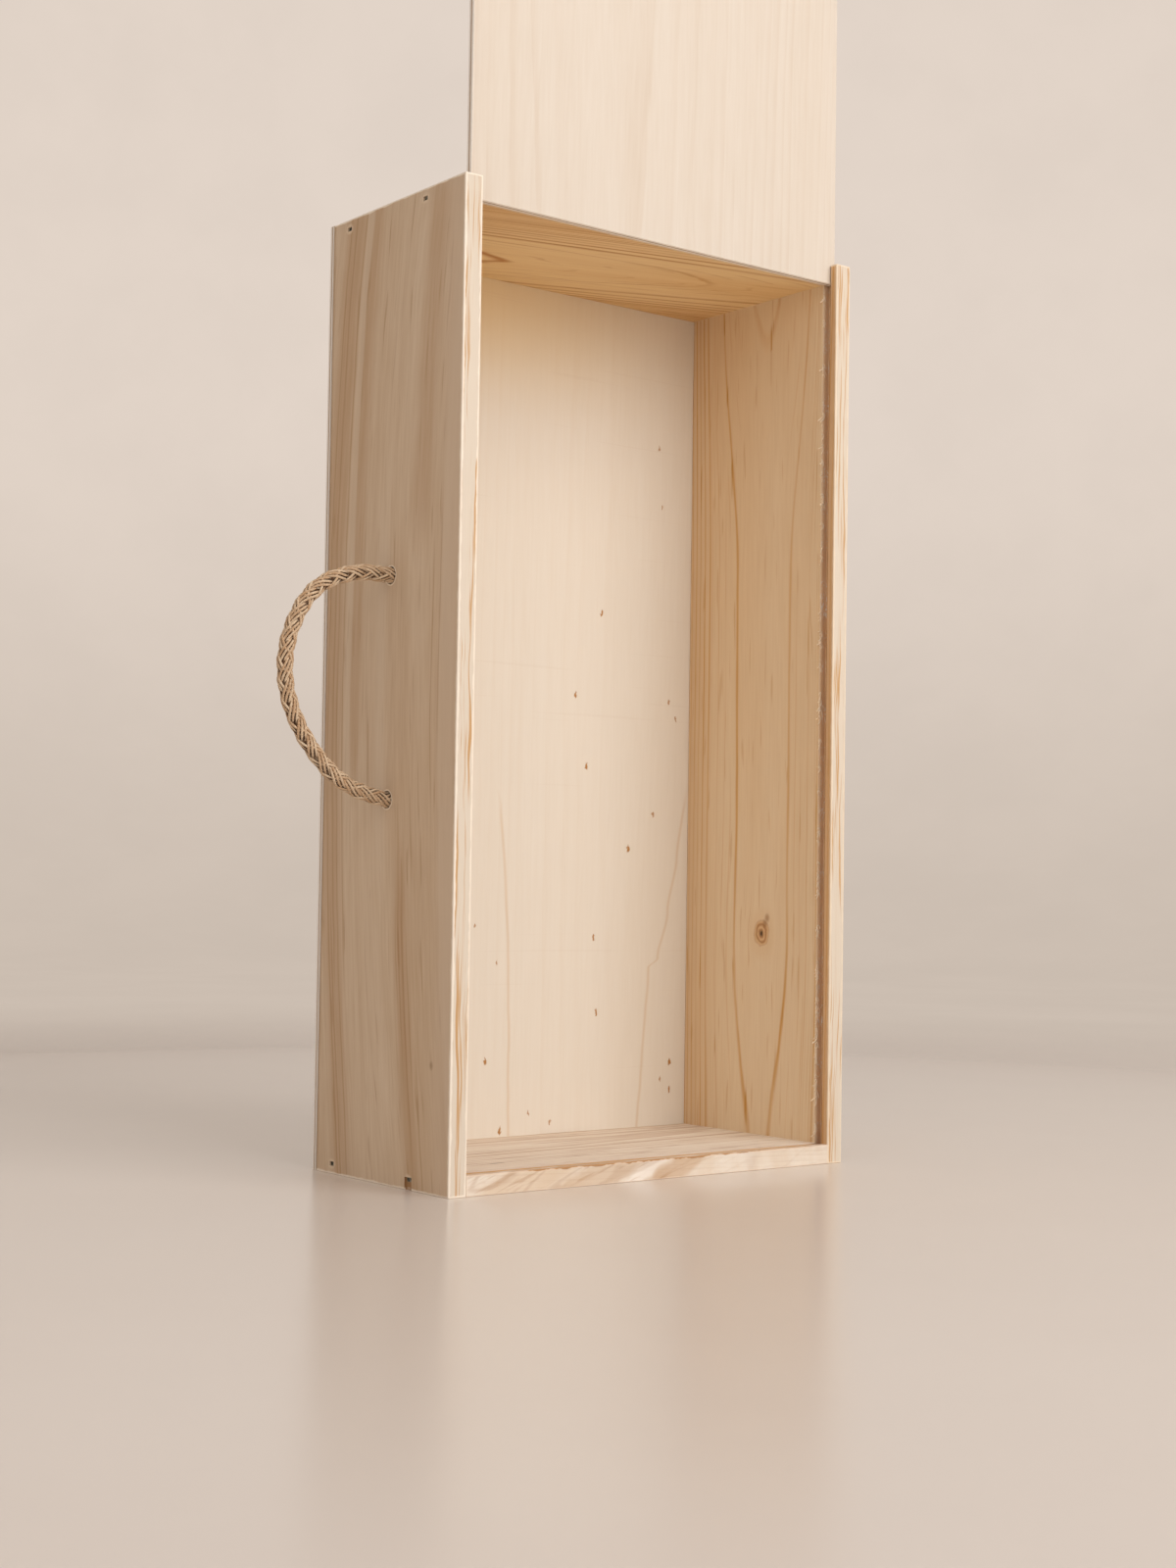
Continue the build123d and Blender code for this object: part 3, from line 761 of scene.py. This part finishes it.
def drawPlainSide(tree, coords, board):
    bent = useGroup(tree, branchKnot, {"Vector": coords, **board["knot"]})
    x, y, z = splitVector(tree, bent["Vector"])
    foot = ramp(tree, z, 0.085, 0.0, 0.0, 0.37)  # the figure narrows at the foot
    top = ramp(tree, z, 0.24, 0.38, 0.0, -0.95)  # and points down near the top
    middle = plus(tree, plus(tree, foot, top), 3.45)
    across = minus(tree, y, board["crownY"])
    rings, width = crownRings(tree, middle, across, minus(tree, joinery["innerX"], x))
    aside = apart(tree, across)
    faint = ramp(tree, z, 0.20, 0.08, 0.45, 0.80)  # in the middle
    lines = ramp(tree, aside, 0.006, 0.016, faint, 1.0)
    hairs = ramp(tree, aside, 0.012, 0.024, 0.0, 0.45)
    figure = {**board["figure"], "Late Width": width, "Lines": lines, "Hairs": hairs}
    colour, height = pine(tree, bent["Vector"], rings, figure)
    # painted shade: darker and warmer towards the back, where the inside meets the back panel
    colour = tint(tree, colour, "#D6A060", ramp(tree, y, 0.012, 0.042), 0.22)
    colour = tint(tree, colour, "#E6C8A0", bent["Halo"], 0.45)
    branch = twoTone(tree, bent["Rings"], "#B2763A", "#DDB684")
    inner = ramp(tree, splitVector(tree, coords)["X"], 0.0915, 0.0890)  # short of the outer face
    colour = mixPaint(tree, times(tree, bent["Knot"], 0.85, inner), colour, branch)
    twig = spotChain(tree, coords, board["twig"], (0.004, 0.0020, 0.0026), 0.8)
    colour = tint(tree, colour, "#9C6A3E", twig, 0.6)
    colour = tint(tree, colour, "#4A2A10", bent["Heart"], inner)
    return dressJoinery(tree, coords, colour, 1.0), height, 0.0


dressBoard(plainSide, drawPlainSide)

# Splinters on the rear wall of the plain side's groove, clear of the lid
splinter = {
    "x": 0.0867, "y": -0.03815, "heights": (0.012, 0.180, 0.350),
    "sizes": {"Count": 420, "Length": 0.0050, "Radius": 0.00042, "Seed": 4},
}


def splinterTree(material):  # curled slivers in loose bunches along a line, more of them near its start
    tree, given, result = growTree("grooveSplinters", splinter["sizes"])
    length = given["Length"]
    share = calc(tree, "POWER", chance(tree, 0.0, 1.0, given["Seed"]), 1.4)
    place = {"Curves": given["Geometry"], "Factor": share}
    place = addNode(tree, "GeometryNodeSampleCurve", place, mode="FACTOR", use_all_curves=True)
    spots = {"Count": given["Count"], "Position": place.outputs["Position"], "Radius": 0.001}
    spots = addNode(tree, "GeometryNodePoints", spots).outputs[0]
    where = addNode(tree, "GeometryNodeInputPosition").outputs[0]
    bunched = over(tree, noise(tree, where, (0.0, 0.0, 75.0), 1.0), 0.49)
    bend = vectorOf(tree, X=times(tree, length, 0.5), Z=times(tree, length, 0.5))
    tip = vectorOf(tree, X=times(tree, length, 0.4), Z=times(tree, length, -0.6))
    sliver = tube(tree, bentLine(tree, bend, tip, 6), 4, given["Radius"])
    turn = chanceVector(tree, (0.0, -1.1, 0.0), (0.0, 1.1, 0.0), 11)
    size = chanceVector(tree, (0.4, 0.3, 0.3), (1.0, 0.75, 1.3), 13)
    size = scaled(tree, size, calc(tree, "POWER", chance(tree, 0.58, 1.0, 12), 2.0))  # mostly small ones
    laid = {"Points": spots, "Selection": bunched, "Instance": sliver, "Rotation": turn, "Scale": size}
    laid = addNode(tree, "GeometryNodeInstanceOnPoints", laid).outputs[0]
    whole = addNode(tree, "GeometryNodeRealizeInstances", {0: laid}).outputs[0]
    setInputs(tree, result, {"Geometry": setMaterial(tree, whole, material)})
    return tree


def makeSplinters():
    material, tree, shader, coords = newMaterial("rawSplinter")
    tone = twoTone(tree, noise(tree, coords, (500.0, 500.0, 500.0)), "#FFE4BC", "#FFF5E2")
    setInputs(tree, shader, {"Base Color": tone, "Roughness": 0.75})
    line = routeCurve("grooveEdge", [(splinter["x"], splinter["y"], z) for z in splinter["heights"]])
    made = grown(line, "groove_splinters", splinterTree(material), splinter["sizes"])
    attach(made, "box")
    print("splinters:", len(made.data.polygons), "faces")


makeSplinters()

# Entry end: warm pine, tongues of figure that point to the plain side
entryEnd = {
    "node": "entry_end", "material": "entryEndPine", "coveredRear": 0.01, "bump": 0.3,
    "tip": (0.0480, -0.0070), "slant": -0.306, "tongues": 12.0,  # where a tongue points, and tongues a metre
    "figure": {
        "Wander": 0.34, "Lines": 0.92, "Streaks": 0.16, "Stains": 0.45, "Dashes": 0.4, "Hairs": 0.3,
        "Early": "#F5D5A0", "Late": "#B46C1C", "Stain": "#DEA659",
    },
    "arris": {"amount": 0.55, "width": 0.0007, "colour": "#EED9BD"},
}


def drawEntryEnd(tree, coords, board):
    faceY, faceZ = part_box(board["node"])[0][1:]
    x, y, z = splitVector(tree, coords)
    along = minus(tree, x, board["tip"][0])
    across = minus(tree, y, timesPlus(tree, along, board["slant"], board["tip"][1]))
    middle = timesPlus(tree, along, board["tongues"], 4.9)
    rings, width = crownRings(tree, middle, across, minus(tree, z, faceZ))
    grain = vectorOf(tree, X=z, Y=across, Z=x)
    colour, height = pine(tree, grain, rings, {**board["figure"], "Late Width": times(tree, width, 2.2)})
    front = ramp(tree, y, faceY + 0.0007, faceY + 0.0002)
    return tint(tree, colour, "#EFDCC4", front, 0.6), height, 0.0


dressBoard(entryEnd, drawEntryEnd)

# Stop end: pinkish pine with thin lines, wavy figure on its front edge
stopEnd = {
    "node": "stop_end", "material": "stopEndPine", "coveredRear": 0.01, "bump": 0.3,
    "pith": (0.0, 0.0150, -0.0480), "logTurn": (0.0, 90.6, 1.5), "bow": 0.0, "ringGap": 0.0021,
    "figure": {
        "Late Width": 0.45, "Wander": 0.4, "Lines": 0.75, "Streaks": 0.22,
        "Stains": 0.3, "Dashes": 0.5, "Hairs": 0.5,
        "Early": "#EEE0CF", "Late": "#B78C69", "Stain": "#D9BBA0",
    },
    "arris": {"amount": 0.6, "width": 0.0007, "colour": "#F0DDC8"},
    # leaning bands on the front edge: place, half width, colour, amount
    "frontBands": [
        (-0.0595, 0.0200, "#DDBF9A", 0.50), (-0.0270, 0.0160, "#CDA97F", 0.55),
        (0.0110, 0.0110, "#CBA377", 0.60), (-0.0055, 0.0072, "#FFF7EC", 0.85),
    ],
    "split": (-0.0582, -0.0235),  # a short crack in the upper face
}


def stopEndFront(tree, coords, x, z, torn):  # colour of the front edge
    turn = (0.0, math.radians(20.0), 0.0)
    slanted = addNode(tree, "ShaderNodeMapping", {"Vector": coords, "Rotation": turn}).outputs[0]
    patch = noise(tree, slanted, (55.0, 10.0, 20.0), 4.0, 0.62)
    colour = twoTone(tree, times(tree, ramp(tree, patch, 0.40, 0.66), 0.5), "#F2E7D8", "#E0C7AA")
    lean = timesPlus(tree, z, -1.87, plus(tree, x, 0.0070))  # up and to the right
    lean = timesPlus(tree, swing(tree, patch), 0.016, lean)
    for place, half, hexCode, amount in stopEnd["frontBands"]:
        colour = tint(tree, colour, hexCode, ramp(tree, apart(tree, lean, place), half, half * 0.55), amount)
    ripple = ramp(tree, noise(tree, slanted, (45.0, 10.0, 420.0), 3.0, 0.6), 0.54, 0.68)
    colour = tint(tree, colour, "#B98B5C", ripple, ramp(tree, x, 0.030, -0.010, 0.15, 0.50))
    field = times(tree, noise(tree, slanted, (11.0, 0.0, 60.0), 1.0), 9.0)
    nested = ramp(tree, apart(tree, calc(tree, "FRACT", field), 0.5), 0.15, 0.02)
    colour = tint(tree, colour, "#AE8052", nested, ramp(tree, x, 0.040, -0.010, 0.10, 0.30))
    return tint(tree, colour, "#A8702F", torn)


def drawStopEnd(tree, coords, board):
    top = joinery["endThickness"]
    colour, height = logFigure(tree, coords, board)
    x, y, z = splitVector(tree, coords)
    thin = swing(tree, noise(tree, coords, (8.0, 210.0, 0.0)))
    thin = ramp(tree, apart(tree, thin), 0.030, 0.006)
    broken = ramp(tree, noise(tree, coords, (26.0, 380.0, 0.0), 1.0), 0.44, 0.60)
    colour = tint(tree, colour, "#A6764E", thin, broken, 0.55)
    front = frontEdge(tree, y)
    torn = ramp(tree, noise(tree, coords, (85.0, 0.0, 0.0), 3.0, 0.6), 0.36, 0.62, 0.0, 0.0009)
    torn = times(tree, torn, between(tree, x, (-0.080, -0.045), (0.075, 0.015)))
    torn = ramp(tree, plus(tree, z, torn), top, top + 0.0002)  # the lip of the groove is torn in places
    torn = times(tree, torn, front)
    edge = stopEndFront(tree, coords, x, z, torn)
    colour = mixPaint(tree, times(tree, front, 0.8), colour, edge)
    lip = times(tree, ramp(tree, z, top - 0.0006, top - 0.0001), ramp(tree, y, -0.0420, -0.0430))
    jag = ramp(tree, noise(tree, coords, (90.0, 600.0, 600.0), 3.0), 0.36, 0.50)
    colour = tint(tree, colour, "#C08A48", lip, jag, 0.6)
    split = spotChain(tree, coords, [(*board["split"], top)], (0.0042, 0.0006, 0.001), 0.6)
    colour = tint(tree, colour, "#5A3A20", split, 0.9)
    # painted shade: the groove sunk in the upper face is a darker golden
    sunk = ramp(tree, z, top - 0.0001, top - 0.0005)
    return tint(tree, colour, "#D2A05A", sunk, grooveSlot(tree, y), 0.85), height, torn


dressBoard(stopEnd, drawStopEnd)

# Back panel: pale three-layer plywood with small brown flecks
backPanel = {
    "node": "back_panel", "material": "backPanelPly", "bump": 0.12,
    "pith": (0.0665, 0.0530, 0.1100), "logTurn": (0.6, 0.4, 0.0), "bow": 0.0, "ringGap": 0.0080,
    "figure": {
        "Late Width": 0.5, "Wander": 0.8, "Lines": 0.07, "Streaks": 0.05,
        "Stains": 0.20, "Dashes": 0.03, "Hairs": 0.3,
        "Early": "#EBE1D2", "Late": "#D2B18A", "Stain": "#E6D6BF",
    },
    "arris": {"amount": 0.3, "width": 0.0005, "colour": "#F3E6D4"},
    # flecks and faint figure lines, in mm from the handle side and up
    "flecks": [
        (133, 222), (120, 187), (126, 158), (149, 124), (131, 87),
        (133, 56), (77, 38), (173, 34), (173, 22), (85, 10),
    ],
    "specks": [
        (163, 295), (165, 270), (170, 187), (174, 180), (162, 139),
        (71, 92), (82, 77), (168, 27), (99, 16), (110, 12),
    ],
    "veins": [
        [(155, -2), (158, 40), (161, 74), (166, 78), (171, 98), (176, 120), (181, 155)],
        [(89, -2), (88, 72), (86, 110), (83, 140), (80, 150)],
    ],
    "veinWidth": 1.2,
}


def plyLayers(tree, coords, colour, board, joint):  # cut edges: pale outer layers, part painted highlight, a darker one between
    low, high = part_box(board["node"])
    y = splitVector(tree, coords)["Y"]
    layer = calc(tree, "DIVIDE", minus(tree, y, low[1]), high[1] - low[1])
    onEdge = between(tree, layer, (0.01, 0.05), (0.99, 0.95))
    # pale outer layers pushed near white: part veneer colour, part painted highlight on the cut edge
    colour = tint(tree, colour, "#FFFBF4", onEdge, 0.95)
    crossLayer = twoTone(tree, noise(tree, coords, (400.0, 400.0, 400.0), 3.0), "#94734F", "#BC9C78")
    inner = between(tree, layer, (0.34, 0.40), (0.66, 0.60))
    colour = mixPaint(tree, times(tree, inner, 0.8), colour, crossLayer)
    meeting = ramp(tree, layer, 0.22, 0.10)  # with the frame
    return tint(tree, colour, "#6B4B2E", onEdge, meeting, joint)


def veneerVein(tree, coords, left, points, width):  # points are mm from the handle side and up
    x, y, z = splitVector(tree, coords)
    line = left + points[0][0] / 1000
    for (a, low), (b, high) in zip(points, points[1:]):
        line = plus(tree, line, ramp(tree, z, low / 1000, high / 1000, 0.0, (b - a) / 1000))
    wobble = swing(tree, noise(tree, coords, (0.0, 0.0, 30.0)))
    off = timesPlus(tree, wobble, 0.0030, minus(tree, x, line))
    low, high = points[0][1] / 1000, points[-1][1] / 1000
    ends = between(tree, z, (low - 0.01, low), (high, high - 0.02))
    return times(tree, ramp(tree, apart(tree, off), width / 1000, 0.0), ends)


def drawBackPanel(tree, coords, board):
    left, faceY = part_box(board["node"])[0][:2]
    colour, height = logFigure(tree, coords, board)
    ragged = scaled(tree, noise(tree, coords, (700.0, 700.0, 700.0), give="Color"), 0.0024)
    ragged = vecCalc(tree, "ADD", coords, ragged)
    ragged = vecCalc(tree, "SUBTRACT", ragged, (0.0012, 0.0012, 0.0012))
    marks = {"flecks": ((0.0008, 0.002, 0.0020), 0.93), "specks": ((0.0006, 0.002, 0.0014), 0.75)}
    for key, (size, amount) in marks.items():
        places = [(left + a / 1000, faceY, b / 1000) for a, b in board[key]]
        colour = tint(tree, colour, "#AC700A", spotChain(tree, ragged, places, size, 0.5), amount)
    for points in board["veins"]:
        vein = veneerVein(tree, coords, left, points, board["veinWidth"])
        colour = tint(tree, colour, "#D2AC7C", vein, 0.36)
    x, y, z = splitVector(tree, coords)
    # painted light: the upper left of the back panel is lighter and yellower, to offset the shade of the lid
    # above
    colour = tint(tree, colour, "#FFDF9F", ramp(tree, z, 0.290, 0.352), ramp(tree, x, 0.100, -0.040), 0.60)
    hair = noise(tree, coords, (10.0, 10.0, 620.0), 1.0)
    colour = tint(tree, colour, "#BC9A78", ramp(tree, hair, 0.72, 0.78), 0.05)
    return plyLayers(tree, coords, colour, board, 0.85), height, 0.0


dressBoard(backPanel, drawBackPanel)

# Lid: thin pale sheet with faint grain
lidSheet = {
    "node": "lid", "material": "lidPly", "bump": 0.1,
    "pith": (-0.0300, 0.0300, 0.4500), "logTurn": (0.8, 0.6, 0.0), "bow": 0.0, "ringGap": 0.0080,
    "figure": {
        "Late Width": 0.6, "Wander": 0.8, "Lines": 0.16, "Streaks": 0.08,
        "Stains": 0.14, "Dashes": 0.05, "Hairs": 0.3,
        "Early": "#E2D6C7", "Late": "#C7A987", "Stain": "#D9C8B3",
    },
    "arris": {"amount": 0.3, "width": 0.0005, "colour": "#F6EBDC"},
}


def drawLid(tree, coords, board):
    colour, height = logFigure(tree, coords, board)
    return plyLayers(tree, coords, colour, board, 0.0), height, 0.0


dressBoard(lidSheet, drawLid)

# Brads: dull greenish steel
brad = {"steel": "#4A4B44", "bright": "#9A988A", "nodes": [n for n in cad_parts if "nails" in n]}


def dressBrads():
    material, tree, shader, coords = newMaterial("bradSteel")
    dull = noise(tree, coords, (900.0, 900.0, 900.0), 3.0, 0.6)
    colour = twoTone(tree, ramp(tree, dull, 0.4, 0.7), brad["steel"], brad["bright"])
    rough = ramp(tree, dull, 0.3, 0.7, 0.55, 0.38)
    setInputs(tree, shader, {"Base Color": colour, "Roughness": rough, "Metallic": 0.8})
    for node in brad["nodes"]:
        dress(node, material)


dressBrads()
print("boards, lid and brads dressed")

# Plain floor and sweep behind it
stage = {
    "radius": 2.6, "cove": 0.9, "height": 2.6, "steps": 96, "rings": 14,
    "floor": ("#DED2C8", "#E2D7CD"), "wall": ("#C9BBAE", "#E1D3C7"),  # each from one tone to another
}


def sweepMesh():
    radius, cove, around = stage["radius"], stage["cove"], stage["steps"]
    rows = [(radius - cove, 0.0)]
    for step in range(1, stage["rings"] + 1):
        bend = math.pi / 2 * step / stage["rings"]
        rows.append((radius - cove * (1 - math.sin(bend)), cove * (1 - math.cos(bend))))
    rows.append((radius, stage["height"]))
    points = [(0.0, 0.0, 0.0)]
    for reach, height in rows:
        for step in range(around):
            turn = 2 * math.pi * step / around
            points.append((reach * math.cos(turn), reach * math.sin(turn), height))
    faces = [(0, 1 + step, 1 + (step + 1) % around) for step in range(around)]
    for row in range(len(rows) - 1):
        for step in range(around):
            a = 1 + row * around + step
            b = 1 + row * around + (step + 1) % around
            faces.append((a, a + around, b + around, b))
    mesh = bpy.data.meshes.new("stageSweep")
    mesh.from_pydata(points, [], faces)
    mesh.polygons.foreach_set("use_smooth", [True] * len(faces))
    return mesh


def stageSweep():
    mesh = sweepMesh()
    made = bpy.data.objects.new("stageSweep", mesh)
    scene.collection.objects.link(made)
    material, tree, shader, coords = newMaterial("stagePaper")
    fine = twoTone(tree, noise(tree, coords, (9.0, 9.0, 9.0), 4.0, 0.6), *stage["floor"])
    far = vecCalc(tree, "LENGTH", vecCalc(tree, "MULTIPLY", coords, (1.0, 1.0, 0.0)))
    sheen = ramp(tree, far, 0.25, 0.60, 0.5, 0.0)
    setInputs(tree, shader, {"Base Color": fine, "Roughness": 0.22, "Specular IOR Level": sheen})
    # The sweep behind glows in its own colour to the camera and in reflections, and lights nothing
    rays = addNode(tree, "ShaderNodeLightPath").outputs
    seen = calc(tree, "MAXIMUM", rays["Is Camera Ray"], rays["Is Glossy Ray"])
    seen = calc(tree, "MAXIMUM", seen, rays["Is Transmission Ray"])
    wall = twoTone(tree, ramp(tree, splitVector(tree, coords)["Z"], -0.2, 0.9), *stage["wall"])
    mottle = noise(tree, coords, (5.0, 5.0, 5.0), 4.0, 0.6)
    wall = scaled(tree, wall, ramp(tree, mottle, 0.3, 0.7, 0.985, 1.015))
    glow = addNode(tree, "ShaderNodeEmission", {"Color": wall, "Strength": 1.0}).outputs[0]
    share = times(tree, seen, ramp(tree, far, 0.40, 1.10))
    mixed = addNode(tree, "ShaderNodeMixShader", {0: share, 1: shader.outputs[0], 2: glow})
    setInputs(tree, tree.nodes["Material Output"], {"Surface": mixed.outputs[0]})
    mesh.materials.append(material)


stageSweep()

# Soft studio light
studio = {
    "aim": (0.0, 0.0, 0.18),
    "worldStrength": 0.60,
    "lamps": {
        "key": {"place": (0.30, -1.70, 1.15), "size": 1.8, "power": 25.0},
        "fill": {"place": (-1.6, -0.9, 0.9), "size": 1.4, "power": 2.5},
    },
}
for name, lamp in studio["lamps"].items():
    data = bpy.data.lights.new(name, "AREA")
    data.shape = "DISK"
    data.size = lamp["size"]
    data.energy = lamp["power"]
    made = bpy.data.objects.new(name, data)
    scene.collection.objects.link(made)
    made.location = lamp["place"]
    made.rotation_euler = (Vector(studio["aim"]) - Vector(lamp["place"])).to_track_quat("-Z", "Y").to_euler()
world = bpy.data.worlds.new("studio")
world.use_nodes = True
background = world.node_tree.nodes["Background"]
background.inputs["Color"].default_value = (1.0, 1.0, 1.0, 1.0)
background.inputs["Strength"].default_value = studio["worldStrength"]
scene.world = world
print("stage lit")
